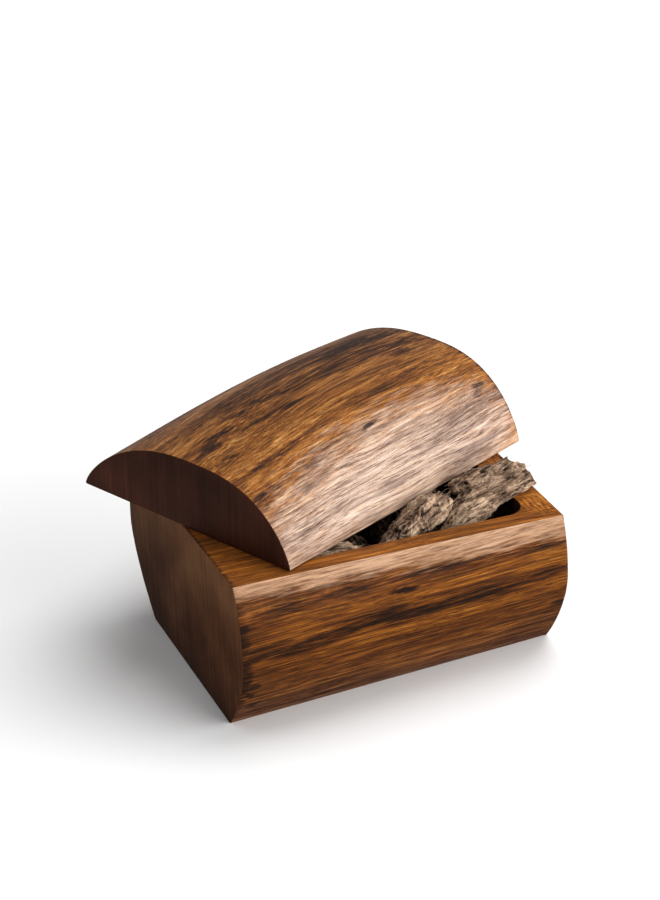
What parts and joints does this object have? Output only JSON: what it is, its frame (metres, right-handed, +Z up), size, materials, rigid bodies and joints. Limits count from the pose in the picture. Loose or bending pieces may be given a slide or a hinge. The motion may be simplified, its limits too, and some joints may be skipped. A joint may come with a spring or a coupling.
{
  "type": "log-shaped wooden box of agarwood pieces",
  "caption": "Box hollowed from a log section with its domed lid laid askew on the rim, and rough agarwood pieces heaped inside.",
  "frame": {"origin": "middle of the box's flat foot", "axes": "+X along the grain of the box, +Y away from the side that shows the open corner, +Z up"},
  "size_m": [0.1995, 0.1917, 0.1148],
  "materials": {
    "stained_hardwood": "sanded, stained and satin waxed",
    "agarwood": "raw, fibrous and weathered"
  },
  "bodies": {
    "root": {"box_body": "stained_hardwood", "lid": "stained_hardwood", "agarwood_piece_1": "agarwood", "agarwood_piece_2": "agarwood", "agarwood_piece_3": "agarwood", "agarwood_piece_4": "agarwood", "agarwood_piece_5": "agarwood", "agarwood_piece_6": "agarwood", "agarwood_piece_7": "agarwood", "agarwood_piece_8": "agarwood", "agarwood_piece_9": "agarwood", "agarwood_piece_10": "agarwood", "agarwood_piece_11": "agarwood", "agarwood_piece_12": "agarwood", "agarwood_piece_13": "agarwood", "agarwood_piece_14": "agarwood"}
  },
  "joints": []
}
